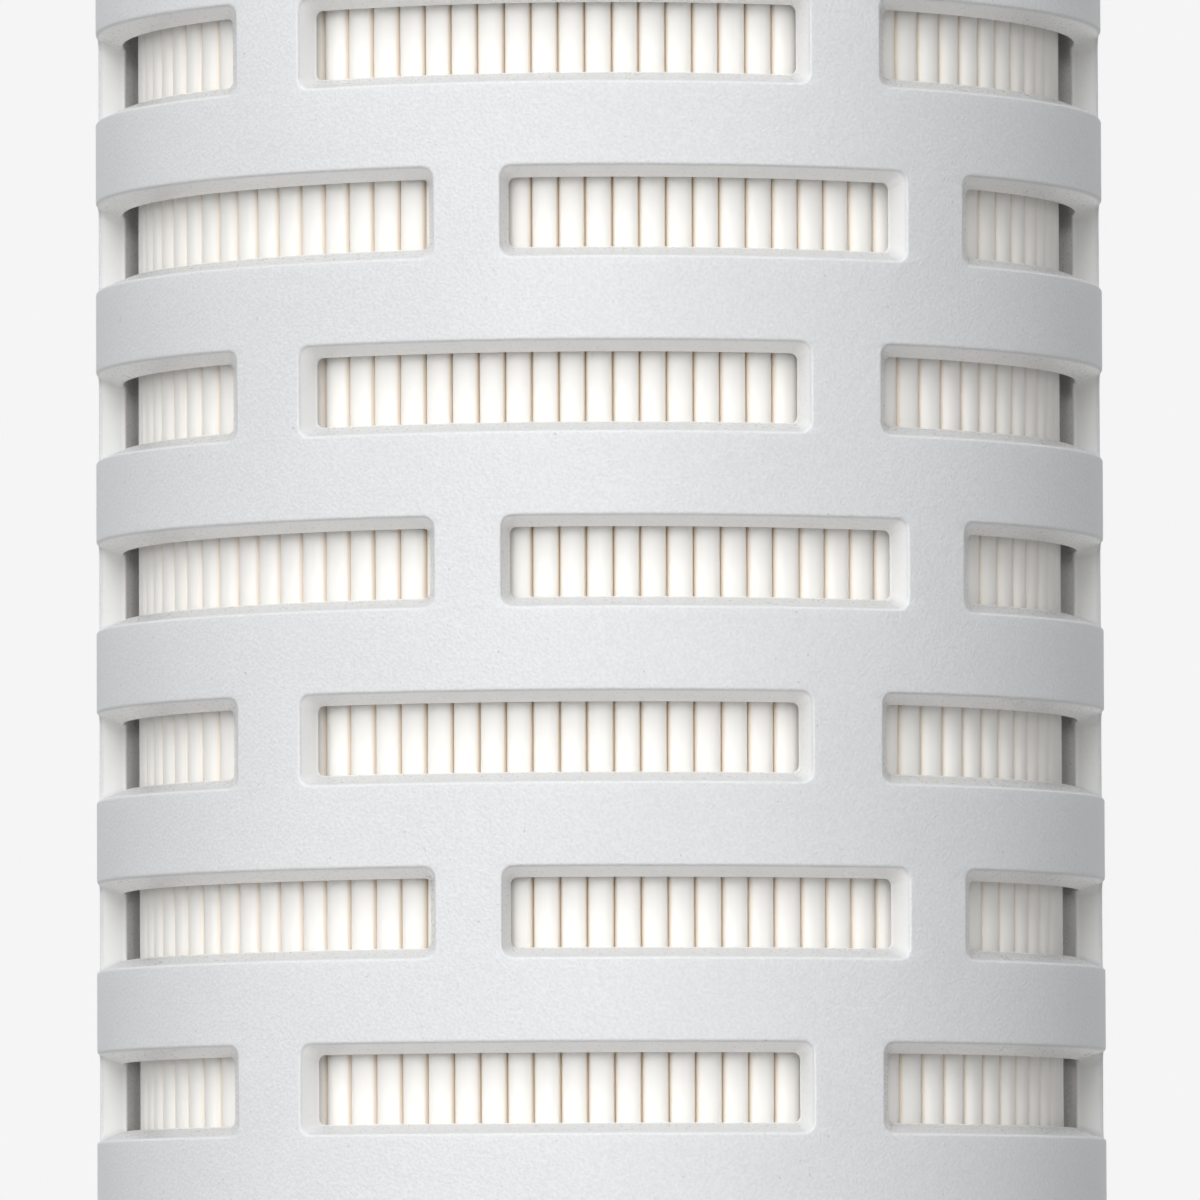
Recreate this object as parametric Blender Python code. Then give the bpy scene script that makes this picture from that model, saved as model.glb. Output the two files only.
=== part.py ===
"""Pleated membrane filter cartridge, standing on its closed end with the outlet up.

Units are metres and +Z is up. The origin is the centre of the closed end's flat face, and the
front, where the cage's slot pattern is centred, faces -Y. Angles in the cage are in degrees
round Z, counted from the front towards +X.
"""

import math
from collections import namedtuple

import bmesh
import bpy

# Whole cartridge
BODY_LENGTH = 0.254
END_DISC = 0.006
CLEARANCE = 0.0003

# Outer cage
CAGE_RADIUS = 0.035
CAGE_WALL = 0.0019
CAGE_END_BAND = 0.0022
CAGE_FACET = 12.5

# Slots of the cage, measured where they break through its outer surface
ROW_PITCH = 0.0118
SLOT_HEIGHT = 0.0062
SLOT_DRAFT = 0.0008
SLOT_END_DRAFT = 0.0003
SLOT_CORNER = 0.0008
EVEN_ROW_RIBS = ((-44.7, -35.6), (24.2, 33.0))
ODD_ROW_RIBS = ((-18.6, -11.0), (36.7, 45.0))
SIDE_RIB = (94.0, 106.0)

# Pleated membrane
PLEATS = 96
PLEAT_CROWDING = 0.12
PLEAT_CAGE_GAP = 0.0010
PLEAT_CORE_GAP = 0.0005
PLEAT_SPACE = 0.00026
PLEAT_TIP_RISE = 0.00045
WEB = 0.00034

# Inner core
CORE_RADIUS = 0.019
CORE_WALL = 0.0022
CORE_ROW_PITCH = 0.026
CORE_WINDOW_HEIGHT = 0.018
CORE_WINDOWS = 6
CORE_RIB_ANGLE = 20.0
CORE_END_BAND = 0.0045
CORE_FACET = 20.0

# End caps
CAP_SHOULDER = 0.003
CAP_SOCKET_DEPTH = 0.004
CAP_CHAMFER = 0.0008
CAP_SEGMENTS = 32

# Outlet adapter
OUTLET_RADIUS = 0.014
SPIGOT_RADIUS = 0.0221
SPIGOT_LENGTH = 0.030
SPIGOT_LEAD_IN = 0.0015
FLANGE_RADIUS = 0.027
FLANGE_THICKNESS = 0.004
FLANGE_RECESS = 0.0012
FLANGE_FILLET = 0.0015
OUTLET_CHAMFER = 0.001

# Seals and their grooves
O_RING_SECTION = 0.0034
O_RING_SQUEEZE = 0.0007
GROOVE_WIDTH = 0.0043
GROOVE_PITCH = 0.0085
FIRST_GROOVE = 0.0075
O_RING_SIDES = 6

CAGE_INNER_RADIUS = CAGE_RADIUS - CAGE_WALL
CORE_INNER_RADIUS = CORE_RADIUS - CORE_WALL
ADAPTER_TOP = BODY_LENGTH + SPIGOT_LENGTH + FLANGE_THICKNESS
PACK_BOTTOM = END_DISC + CAP_SHOULDER + CLEARANCE
PACK_TOP = BODY_LENGTH - PACK_BOTTOM

Opening = namedtuple("Opening", "start end start_inside end_inside")
Row = namedtuple("Row", "height openings")


def clear_scene():
    for obj in list(bpy.data.objects):
        bpy.data.objects.remove(obj, do_unlink=True)


def plastic(name, colour, roughness, subsurface=0.0):
    """A plain Principled finish, with some light let into the milky mouldings."""
    material = bpy.data.materials.new(name)
    material.use_nodes = True
    shader = material.node_tree.nodes["Principled BSDF"]
    shader.inputs["Base Color"].default_value = (*colour, 1.0)
    shader.inputs["Roughness"].default_value = roughness
    shader.inputs["Metallic"].default_value = 0.0
    shader.inputs["Subsurface Weight"].default_value = subsurface
    shader.inputs["Subsurface Scale"].default_value = CAGE_WALL
    material.diffuse_color = (*colour, 1.0)
    return material


def finish(name, bm, material, sharp_angle=30.0):
    """Turns a closed bmesh into the sub-part's object, faces outwards and round faces smooth."""
    bmesh.ops.recalc_face_normals(bm, faces=bm.faces)
    mesh = bpy.data.meshes.new(name)
    bm.to_mesh(mesh)
    bm.free()
    mesh.shade_smooth()
    mesh.set_sharp_from_angle(angle=math.radians(sharp_angle))
    mesh.materials.append(material)
    obj = bpy.data.objects.new(name, mesh)
    bpy.context.scene.collection.objects.link(obj)
    return obj


def inside_facets(radius, facet):
    """The largest radius that clears the flats of a tube whose facets span that many degrees."""
    return radius * math.cos(math.radians(facet / 2)) - CLEARANCE


def turned(profile, segments, closed=False):
    """Spins a profile of (radius, height) points about Z. An open one starts and ends on Z."""
    bm = bmesh.new()
    points = [bm.verts.new((radius, 0.0, height)) for radius, height in profile]
    edges = [bm.edges.new(pair) for pair in zip(points, points[1:])]
    if closed:
        edges.append(bm.edges.new((points[-1], points[0])))
    bmesh.ops.spin(
        bm,
        geom=points + edges,
        cent=(0.0, 0.0, 0.0),
        axis=(0.0, 0.0, 1.0),
        angle=2 * math.pi,
        steps=segments,
        use_merge=True,
    )
    bmesh.ops.remove_doubles(bm, verts=bm.verts, dist=1e-6)
    return bm


def on_wall(bm, radius, degrees, height):
    angle = math.radians(degrees)
    return bm.verts.new((radius * math.sin(angle), -radius * math.cos(angle), height))


def divided(first, last, widest):
    """Angles from first to last in equal spans, none wider than the widest."""
    spans = max(1, math.ceil((last - first) / widest - 1e-6))
    return [first + (last - first) * k / spans for k in range(spans + 1)]


def stretched(angles, first, last):
    """The same division between two other angles."""
    scale = (last - first) / (angles[-1] - angles[0])
    return [first + (angle - angles[0]) * scale for angle in angles]


def closed_ring(line):
    return line + [(line[0][0] + 360.0, line[0][1])]


def zip_band(bm, lower, upper):
    """Fills the band between two rings of (angle, point), a quad where their angles agree."""
    i = 0
    j = 0
    while i < len(lower) - 1 or j < len(upper) - 1:
        next_lower = lower[i + 1][0] if i < len(lower) - 1 else math.inf
        next_upper = upper[j + 1][0] if j < len(upper) - 1 else math.inf
        level = abs(next_lower - next_upper) < 1e-4
        corners = [lower[i][1]]
        if level or next_lower < next_upper:
            i += 1
            corners.append(lower[i][1])
        corners.append(upper[j][1])
        if level or next_upper < next_lower:
            j += 1
            corners.insert(-1, upper[j][1])
        bm.faces.new(corners)


def row_on_skin(bm, row, side, radius, half, corner, facet):
    """One row on one surface: its lower and upper rings, and the loop round each opening."""
    turn = math.degrees(corner / radius)
    heights = (row.height - half, row.height + half)
    rings = ([], [])
    sides = []
    ribs = []
    openings = row.openings
    for k, opening in enumerate(openings):
        wrap = 360.0 if k == len(openings) - 1 else 0.0
        following = openings[(k + 1) % len(openings)]
        start = (opening.start, opening.start_inside)[side]
        end = (opening.end, opening.end_inside)[side]
        next_start = (following.start, following.start_inside)[side] + wrap
        across = divided(opening.start, opening.end, facet)
        solid = divided(opening.end, following.start + wrap, facet)
        across = stretched(across, start + turn, end - turn)
        solid = stretched(solid, end - turn, next_start + turn)[1:-1]
        for ring, height in zip(rings, heights):
            ring.append([(a, on_wall(bm, radius, a, height)) for a in across])
            ring.append([(a, on_wall(bm, radius, a, height)) for a in solid])
        corners = (heights[0] + corner, heights[1] - corner)
        sides.append(
            (
                [on_wall(bm, radius, start, height) for height in corners],
                [on_wall(bm, radius, end, height) for height in corners],
            )
        )
    low, high = rings
    for k in range(len(openings)):
        following = (k + 1) % len(openings)
        foot = low[2 * k][-1:] + low[2 * k + 1] + low[2 * following][:1]
        head = high[2 * k][-1:] + high[2 * k + 1] + high[2 * following][:1]
        ribs.append((foot, head, sides[k][1], sides[following][0]))
    for foot, head, before, after in ribs:
        for k in range(len(foot) - 1):
            corners = [foot[k][1], foot[k + 1][1]]
            if k == len(foot) - 2:
                corners += after
            corners += [head[k + 1][1], head[k][1]]
            if k == 0:
                corners += before[::-1]
            bm.faces.new(corners)
    loops = []
    for k, (left, right) in enumerate(sides):
        loop = [point for _, point in low[2 * k]] + right
        loop += [point for _, point in high[2 * k][::-1]] + left[::-1]
        loops.append(loop)
    joined = [closed_ring([point for run in ring for point in run]) for ring in rings]
    return joined, loops


def slotted_tube(radii, ends, rows, halves, corners, facet):
    """A tube wall with rows of openings. Pairs of sizes are (outer surface, inner surface)."""
    bm = bmesh.new()
    rims = []
    loops = []
    for side, radius in enumerate(radii):
        rings = []
        side_loops = []
        for row in rows:
            joined, row_loops = row_on_skin(
                bm, row, side, radius, halves[side], corners[side], facet
            )
            rings += joined
            side_loops += row_loops
        for height, ring, place in ((ends[0], rings[0], 0), (ends[1], rings[-1], len(rings) + 1)):
            rim = [(angle, on_wall(bm, radius, angle, height)) for angle, _ in ring[:-1]]
            rings.insert(place, closed_ring(rim))
        for lower, upper in zip(rings[0::2], rings[1::2]):
            zip_band(bm, lower, upper)
        rims.append((rings[0], rings[-1]))
        loops.append(side_loops)
    for outer, inner in zip(*rims):
        for k in range(len(outer) - 1):
            bm.faces.new((outer[k][1], outer[k + 1][1], inner[k + 1][1], inner[k][1]))
    for outer, inner in zip(*loops):
        for k in range(len(outer)):
            bm.faces.new((outer[k - 1], outer[k], inner[k], inner[k - 1]))
    bmesh.ops.remove_doubles(bm, verts=bm.verts, dist=1e-6)
    return bm


def slot_end_inside(angle, is_start):
    """Where a slot's end wall meets the cage's inner surface.

    The mould opens to the front and the back. An end wall that faces the middle of its half is
    radial, one that faces away from it runs along the pull, and one that lies beyond the parting
    line stands across the pull, so that all release.
    """
    size = abs(angle)
    faces_middle = (angle < 0) == is_start
    if size > 90.0:
        depth = CAGE_RADIUS * math.cos(math.radians(size))
        inner = math.degrees(math.acos(depth / CAGE_INNER_RADIUS))
    elif faces_middle:
        inner = size - math.degrees(SLOT_END_DRAFT / CAGE_INNER_RADIUS)
    else:
        across = CAGE_RADIUS * math.sin(math.radians(size)) + SLOT_END_DRAFT
        inner = math.degrees(math.asin(across / CAGE_INNER_RADIUS))
    return math.copysign(inner, angle)


def half_row(ribs, side_end, turn):
    """The slots of one half of the cage, between its ribs and its two side ribs."""
    starts = [-side_end] + [rib[1] for rib in ribs]
    ends = [rib[0] for rib in ribs] + [side_end]
    return [
        Opening(
            start + turn,
            end + turn,
            slot_end_inside(start, True) + turn,
            slot_end_inside(end, False) + turn,
        )
        for start, end in zip(starts, ends)
    ]


def outer_cage(material):
    bottom = END_DISC + CLEARANCE
    top = BODY_LENGTH - bottom
    count = int((top - bottom - 2 * CAGE_END_BAND) / ROW_PITCH)
    first = (top + bottom - (count - 1) * ROW_PITCH) / 2
    rows = []
    for k in range(count):
        ribs = ODD_ROW_RIBS if k % 2 else EVEN_ROW_RIBS
        front = half_row(ribs, SIDE_RIB[0], 0.0)
        back = half_row(ribs, 180.0 - SIDE_RIB[1], 180.0)
        rows.append(Row(first + k * ROW_PITCH, front + back))
    bm = slotted_tube(
        radii=(CAGE_RADIUS, CAGE_INNER_RADIUS),
        ends=(bottom, top),
        rows=rows,
        halves=(SLOT_HEIGHT / 2, SLOT_HEIGHT / 2 - SLOT_DRAFT),
        corners=(SLOT_CORNER, 0.0),
        facet=CAGE_FACET,
    )
    return finish("outer_cage", bm, material, sharp_angle=20.0)


def inner_core(material):
    bottom = PACK_BOTTOM
    top = PACK_TOP
    count = int((top - bottom - 2 * CORE_END_BAND) / CORE_ROW_PITCH)
    first = (top + bottom - (count - 1) * CORE_ROW_PITCH) / 2
    step = 360.0 / CORE_WINDOWS
    windows = []
    for k in range(CORE_WINDOWS):
        start = k * step + CORE_RIB_ANGLE / 2
        end = (k + 1) * step - CORE_RIB_ANGLE / 2
        windows.append(Opening(start, end, start, end))
    bm = slotted_tube(
        radii=(CORE_RADIUS, CORE_INNER_RADIUS),
        ends=(bottom, top),
        rows=[Row(first + k * CORE_ROW_PITCH, windows) for k in range(count)],
        halves=(CORE_WINDOW_HEIGHT / 2, CORE_WINDOW_HEIGHT / 2),
        corners=(0.0, 0.0),
        facet=CORE_FACET,
    )
    return finish("inner_core", bm, material)


def valley_angles():
    """Angles of the valleys between the pleats, which stand closer at the front and the back."""
    angles = []
    for k in range(PLEATS + 1):
        even = 2 * math.pi * (k - 0.5) / PLEATS
        angles.append(even - PLEAT_CROWDING / 2 * math.sin(2 * even))
    return angles


def pleated_membrane(material):
    """The strip's section, one fold at a time, drawn at the pack's foot and extruded upwards."""
    tip = CAGE_INNER_RADIUS - PLEAT_CAGE_GAP
    root = CORE_RADIUS + PLEAT_CORE_GAP
    shoulder = tip - PLEAT_TIP_RISE
    bm = bmesh.new()

    def at(radius, across, centre):
        angle = centre + across / radius
        return bm.verts.new((radius * math.sin(angle), -radius * math.cos(angle), PACK_BOTTOM))

    folds = []
    valleys = valley_angles()
    for before, after in zip(valleys, valleys[1:]):
        centre = (before + after) / 2
        half_step = (after - before) / 2
        half_tip = half_step * tip - PLEAT_SPACE / 2
        crown = [
            at(shoulder, -half_tip, centre),
            at(tip, -half_tip / 2, centre),
            at(tip, half_tip / 2, centre),
            at(shoulder, half_tip, centre),
        ]
        lining = [
            at(shoulder - WEB, WEB - half_tip, centre),
            at(shoulder - WEB, half_tip - WEB, centre),
        ]
        foot = [
            at(root, -WEB, after),
            at(root, WEB, after),
            at(root + WEB, 0.0, after),
        ]
        folds.append((crown, lining, foot))
    for k, (crown, lining, foot) in enumerate(folds):
        next_crown, next_lining, _ = folds[(k + 1) % PLEATS]
        leaving, returning, valley = foot
        bm.faces.new(crown + lining[::-1])
        bm.faces.new((crown[3], valley, leaving, lining[1]))
        bm.faces.new((valley, next_crown[0], next_lining[0], returning))
        bm.faces.new((leaving, valley, returning))
    section = bm.faces[:]
    raised = bmesh.ops.extrude_face_region(bm, geom=section)
    verts = [item for item in raised["geom"] if isinstance(item, bmesh.types.BMVert)]
    bmesh.ops.translate(bm, verts=verts, vec=(0.0, 0.0, PACK_TOP - PACK_BOTTOM))
    return finish("pleated_membrane", bm, material, sharp_angle=60.0)


def shoulder_radius():
    return inside_facets(CAGE_INNER_RADIUS, CAGE_FACET)


def socket_radius():
    return inside_facets(CORE_INNER_RADIUS, CORE_FACET)


def closed_end_cap(material):
    """A flat disc with a shoulder for the cage and a plug for the core."""
    deck = END_DISC + CAP_SHOULDER
    plug = deck + CAP_SOCKET_DEPTH
    profile = [
        (0.0, 0.0),
        (CAGE_RADIUS - CAP_CHAMFER, 0.0),
        (CAGE_RADIUS, CAP_CHAMFER),
        (CAGE_RADIUS, END_DISC),
        (shoulder_radius(), END_DISC),
        (shoulder_radius(), deck),
        (socket_radius(), deck),
        (socket_radius(), plug),
        (0.0, plug),
    ]
    return finish("closed_end_cap", turned(profile, CAP_SEGMENTS), material)


def open_end_cap(material):
    """The closed cap's partner at the top, with the outlet hole and a seat for the adapter."""
    disc = BODY_LENGTH - END_DISC
    deck = disc - CAP_SHOULDER
    collar = deck - CAP_SOCKET_DEPTH
    seat = FLANGE_RADIUS + CLEARANCE
    profile = [
        (OUTLET_RADIUS, collar),
        (socket_radius(), collar),
        (socket_radius(), deck),
        (shoulder_radius(), deck),
        (shoulder_radius(), disc),
        (CAGE_RADIUS, disc),
        (CAGE_RADIUS, BODY_LENGTH - CAP_CHAMFER),
        (CAGE_RADIUS - CAP_CHAMFER, BODY_LENGTH),
        (seat, BODY_LENGTH),
        (seat, BODY_LENGTH - FLANGE_RECESS),
        (OUTLET_RADIUS, BODY_LENGTH - FLANGE_RECESS),
    ]
    return finish("open_end_cap", turned(profile, CAP_SEGMENTS, closed=True), material)


def groove_heights():
    first = ADAPTER_TOP - FIRST_GROOVE
    return (first - GROOVE_PITCH, first)


def groove_root():
    return SPIGOT_RADIUS + O_RING_SQUEEZE - O_RING_SECTION - CLEARANCE


def outlet_adapter(material):
    """Flange, filleted foot, spigot with its grooves and lead-in, and the bore through it."""
    foot = BODY_LENGTH - FLANGE_RECESS + CLEARANCE
    deck = BODY_LENGTH + FLANGE_THICKNESS
    profile = [
        (OUTLET_RADIUS, foot),
        (FLANGE_RADIUS, foot),
        (FLANGE_RADIUS, deck - CAP_CHAMFER),
        (FLANGE_RADIUS - CAP_CHAMFER, deck),
        (SPIGOT_RADIUS + FLANGE_FILLET, deck),
        (SPIGOT_RADIUS, deck + FLANGE_FILLET),
    ]
    for height in groove_heights():
        low = height - GROOVE_WIDTH / 2
        high = height + GROOVE_WIDTH / 2
        profile += [
            (SPIGOT_RADIUS, low),
            (groove_root(), low),
            (groove_root(), high),
            (SPIGOT_RADIUS, high),
        ]
    profile += [
        (SPIGOT_RADIUS, ADAPTER_TOP - SPIGOT_LEAD_IN),
        (SPIGOT_RADIUS - SPIGOT_LEAD_IN, ADAPTER_TOP),
        (OUTLET_RADIUS + OUTLET_CHAMFER, ADAPTER_TOP),
        (OUTLET_RADIUS, ADAPTER_TOP - OUTLET_CHAMFER),
    ]
    return finish("outlet_adapter", turned(profile, CAP_SEGMENTS, closed=True), material)


def o_ring(name, height, material):
    """A round-section seal that stands out of its groove by the squeeze."""
    section = O_RING_SECTION / 2
    middle = groove_root() + CLEARANCE + section
    profile = []
    for k in range(O_RING_SIDES):
        angle = 2 * math.pi * (k + 0.5) / O_RING_SIDES
        profile.append((middle + section * math.cos(angle), section * math.sin(angle)))
    ring = finish(name, turned(profile, CAP_SEGMENTS, closed=True), material, sharp_angle=70.0)
    ring.location.z = height
    return ring


def build():
    clear_scene()
    cage_plastic = plastic("milky_polypropylene", (0.80, 0.81, 0.82), 0.42, subsurface=0.3)
    cap_plastic = plastic("white_polypropylene", (0.83, 0.83, 0.82), 0.38, subsurface=0.2)
    core_plastic = plastic("natural_polypropylene", (0.78, 0.78, 0.76), 0.45, subsurface=0.2)
    membrane = plastic("membrane", (0.88, 0.87, 0.84), 0.8)
    seal_rubber = plastic("seal_rubber", (0.02, 0.02, 0.02), 0.55)
    pieces = [
        outer_cage(cage_plastic),
        pleated_membrane(membrane),
        inner_core(core_plastic),
        closed_end_cap(cap_plastic),
        open_end_cap(cap_plastic),
        outlet_adapter(cap_plastic),
    ]
    for name, height in zip(("lower_o_ring", "upper_o_ring"), groove_heights()):
        pieces.append(o_ring(name, height, seal_rubber))
    cartridge = bpy.data.objects.new("cartridge", None)
    bpy.context.scene.collection.objects.link(cartridge)
    for piece in pieces:
        piece.parent = cartridge


build()
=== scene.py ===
import math
from collections import namedtuple

import bmesh
import bpy
from mathutils import Matrix, Vector


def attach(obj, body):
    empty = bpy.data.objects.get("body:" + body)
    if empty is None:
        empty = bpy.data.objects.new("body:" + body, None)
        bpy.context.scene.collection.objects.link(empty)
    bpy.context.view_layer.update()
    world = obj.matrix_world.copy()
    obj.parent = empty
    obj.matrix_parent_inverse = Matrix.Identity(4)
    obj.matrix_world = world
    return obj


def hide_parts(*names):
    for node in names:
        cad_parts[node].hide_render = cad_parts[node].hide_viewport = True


# Everything is in metres, and stands on the closed end's flat face at Z = 0. Angles are in degrees
# round Z, counted from the front (-Y) towards +X.

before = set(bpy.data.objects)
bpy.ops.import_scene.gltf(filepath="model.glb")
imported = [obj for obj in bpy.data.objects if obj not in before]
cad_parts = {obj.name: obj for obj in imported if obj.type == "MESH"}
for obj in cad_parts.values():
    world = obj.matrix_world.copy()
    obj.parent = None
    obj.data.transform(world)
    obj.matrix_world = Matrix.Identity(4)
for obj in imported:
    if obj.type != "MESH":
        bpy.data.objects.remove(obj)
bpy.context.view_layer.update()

# Camera of the photograph, whose frame is square
CAMERA_PLACE = (0.0, -1.0207, 0.1369)
CAMERA_PITCH = 0.0530
CAMERA_ROLL = -0.0035
CAMERA_LENS = 440.9
CAMERA_REACH = (0.05, 60.0)
SENSOR = 36.0

# Light. A strength of 1 in the world renders white as white. BACKDROP is what is seen directly,
# and AMBIENT is what lights the object.
BACKDROP = 0.913
AMBIENT = 0.26
KEY_STRENGTH = 1.95
KEY_AZIMUTH = -13.0
KEY_ELEVATION = 48.0
KEY_SPREAD = 60.0
FILL_STRENGTH = 1.54
FILL_AZIMUTH = -11.0
FILL_ELEVATION = 8.0
FILL_SPREAD = 40.0
LAMP_DISTANCE = 2.0
FLOOR_SIZE = 12.0
FLOOR_DROP = 0.00005
FLOOR_PAPER = (0.50, 0.50, 0.50, 1.0)
FLOOR_LIFT = (0.40, 0.40, 0.40, 1.0)
FLOOR_GRAIN_SCALE = 900.0
FLOOR_GRAIN_TONE = 0.995

# Cartridge
BODY_LENGTH = 0.254
END_DISC = 0.006
CLEARANCE = 0.0003

# Outer cage
CAGE_RADIUS = 0.035
CAGE_WALL = 0.0019
CAGE_FACET = 3.0
RIM_EDGE = 0.0003
ROW_PITCH = 0.0118
CAGE_ROWS = 20
CAGE_BOTTOM = END_DISC + CLEARANCE
CAGE_TOP = BODY_LENGTH - CAGE_BOTTOM
FIRST_ROW = (CAGE_BOTTOM + CAGE_TOP - (CAGE_ROWS - 1) * ROW_PITCH) / 2
SLOT_HEIGHT = 0.0062
SLOT_DRAFT = 0.0008
SLOT_END_DRAFT = 0.0003
SLOT_CORNER = 0.0008
SLOT_CORNER_INSIDE = 0.00045
SLOT_EDGE = 0.00022
SLOT_EDGE_INSIDE = 0.00010
EVEN_ROW_RIBS = ((-44.7, -35.6), (24.2, 33.0))
ODD_ROW_RIBS = ((-18.6, -11.0), (36.7, 45.0))
SIDE_RIB = (94.0, 106.0)

# Pleated membrane
PLEATS = 96
PLEAT_CROWDING = 0.12
PLEAT_CAGE_GAP = 0.0010
PLEAT_CORE_GAP = 0.0005
PLEAT_SPACE = 0.000008
PLEAT_MOUTH = 0.00031
PLEAT_OPEN_DEPTH = 0.00065
WEB = 0.00034
VALLEY_ROUNDING = 0.12
PACK_BOTTOM = 0.0093
PACK_TOP = BODY_LENGTH - PACK_BOTTOM
CROWN_RISE = 0.00032
CROWN_POWER = 2.8
CROWN_SPACING = 1.7
CROWN_STEPS = 5
INNER_CROWN = 0.8
FLANK_RADII = (0.0260, 0.0297)
PACK_LEVELS = 20
SIDEWAYS_WANDER = 0.00018
INWARD_WANDER = 0.0002
WANDER_SCALE = 320.0
WANDER_STRETCH = 0.08
WANDER_SEED = 3.0

# Inner core
CORE_RADIUS = 0.019
CORE_WALL = 0.0022
CORE_ROWS = 8
CORE_ROW_PITCH = 0.026
CORE_WINDOW_HEIGHT = 0.018
CORE_WINDOWS = 6
CORE_RIB_ANGLE = 20.0
CORE_CORNER = 0.0012
CORE_EDGE = 0.0002
CORE_FACET = 5.0

# End caps and outlet adapter
CAP_SHOULDER = 0.003
CAP_SOCKET_DEPTH = 0.004
CAP_EDGE = 0.0008
SHOULDER_RADIUS = 0.0326
PLUG_RADIUS = 0.01622
OUTLET_RADIUS = 0.014
SPIGOT_RADIUS = 0.0221
SPIGOT_LENGTH = 0.030
FLANGE_RADIUS = 0.027
FLANGE_THICKNESS = 0.004
FLANGE_RECESS = 0.0012
FLANGE_FILLET = 0.0015
SMALL_EDGE = 0.00025
PLUG_EDGE = 0.0005
LEAD_IN = 0.0015
LEAD_IN_EDGES = (0.001, 0.0005, 0.001)
TURNED_STEPS = 144
TURNED_CORNER_STEP = 22.5
ADAPTER_TOP = BODY_LENGTH + SPIGOT_LENGTH + FLANGE_THICKNESS

# Seals and their grooves
GROOVE_DEPTHS = (0.0160, 0.0075)
O_RING_SECTION = 0.0034
O_RING_SQUEEZE = 0.0007
GROOVE_WIDTH = 0.0043
GROOVE_HEIGHTS = [ADAPTER_TOP - depth for depth in GROOVE_DEPTHS]
GROOVE_ROOT = SPIGOT_RADIUS + O_RING_SQUEEZE - O_RING_SECTION - CLEARANCE
O_RING_STEPS = 20

# Finishes, with painted light and shade
GLOSS = 0.2
PLASTIC_SCATTER = {
    "subsurface_radius": (1.0, 0.97, 0.93),
    "subsurface_scale": 0.002,
}
NOISE_RANGE = (0.3, 0.7)
GRAIN_TONE = 0.92
ROUGHNESS_SWING = (-0.04, 0.05)
RUB_STRETCH = 0.12
RUB_RANGE = (0.62, 0.74)
RUB_SHINE = 0.06
SPECK_RANGE = (0.84, 0.88)
SPECK_STRENGTH = 0.35
SPECK_COLOUR = (0.30, 0.29, 0.27, 1.0)
SKIN_DEPTH = 0.0003
WALL_POLISH = 0.10
# Painted light and shade on the cage's slots: ceilings that face down are painted lighter, sills
# that face up darker
SLOT_CEILING_PAINTED_LIGHT = (0.98, 0.975, 0.965, 1.0)
SLOT_SILL_PAINTED_SHADE = (0.60, 0.605, 0.61, 1.0)
# Painted light: the cage's inside is painted lighter than its skin, standing for light let through
# the milky wall, up to a depth set as a share of the wall
INSIDE_PAINTED_LIGHT = (0.96, 0.955, 0.94, 1.0)
INSIDE_PAINTED_LIGHT_DEPTH = 0.8
CROWN_COLOUR = (0.982, 0.965, 0.93, 1.0)
# Painted shade: the web is painted darker and warmer down in the folds
FOLD_PAINTED_SHADE = (0.93, 0.83, 0.71, 1.0)
FOLD_SHADE_RANGE = (0.25, 0.9)
STREAK_STRETCH = 0.03
STREAK_TONE = 0.98
FELT_ROUGHNESS = (0.48, 0.64)
WEB_RELIEF = 0.000004
RUBBER_COLOUR = (0.016, 0.016, 0.017, 1.0)
BLOOM_COLOUR = (0.05, 0.05, 0.052, 1.0)
BLOOM_STRENGTH = 0.5
RUBBER_ROUGHNESS = (0.42, 0.58)
RUBBER_RELIEF = 0.000003

# Points nearer than this are welded: in any piece, in slotted and turned pieces, between pleats,
# and between rows. Ring points whose angles differ by less than SAME_ANGLE share a quad.
FINE_WELD = 1e-7
WELD = 1e-6
PLEAT_WELD = 2e-6
ROW_WELD = 5e-6
SAME_ANGLE = 0.6
ROUNDING = 1e-6

# A slot's two ends on the outer surface and on the inner one, in degrees
Opening = namedtuple("Opening", "start end start_inside end_inside")
# A slotted tube wall: half is half a slot's height, and facet the widest facet in degrees
Wall = namedtuple("Wall", "radius thickness half draft corner corner_inside edge edge_inside facet")

CORNER_STEPS = 5
OUTER_EDGE_STEPS = 3
INNER_EDGE_STEPS = 2


# Small tools


def mesh_object(name, mesh):
    """A new object in the scene, which stands at the origin."""
    obj = bpy.data.objects.new(name, mesh)
    bpy.context.scene.collection.objects.link(obj)
    return obj


def from_bmesh(name, bm, weld=FINE_WELD):
    """An object from a bmesh, welded, its faces turned outwards and shaded smooth."""
    bmesh.ops.remove_doubles(bm, verts=bm.verts, dist=weld)
    bmesh.ops.recalc_face_normals(bm, faces=bm.faces)
    mesh = bpy.data.meshes.new(name)
    bm.to_mesh(mesh)
    bm.free()
    mesh.shade_smooth()
    return mesh_object(name, mesh)


def add_node(tree, kind, inputs=None, **settings):
    """A node with its settings, and its inputs set to values or linked to other sockets."""
    made = tree.nodes.new(kind)
    for key, value in settings.items():
        setattr(made, key, value)
    for key, value in (inputs or {}).items():
        if isinstance(value, bpy.types.NodeSocket):
            tree.links.new(value, made.inputs[key])
        else:
            made.inputs[key].default_value = value
    return made


def maths(tree, operation, *values):
    """A plain sum on numbers or sockets, and its result's socket."""
    return add_node(tree, "ShaderNodeMath", dict(enumerate(values)), operation=operation).outputs[0]


def vector_maths(tree, operation, *values):
    made = add_node(tree, "ShaderNodeVectorMath", dict(enumerate(values)), operation=operation)
    return made.outputs["Value" if operation == "LENGTH" else "Vector"]


def scaled(tree, vector, factor):
    inputs = {"Vector": vector, "Scale": factor}
    return add_node(tree, "ShaderNodeVectorMath", inputs, operation="SCALE").outputs["Vector"]


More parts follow.
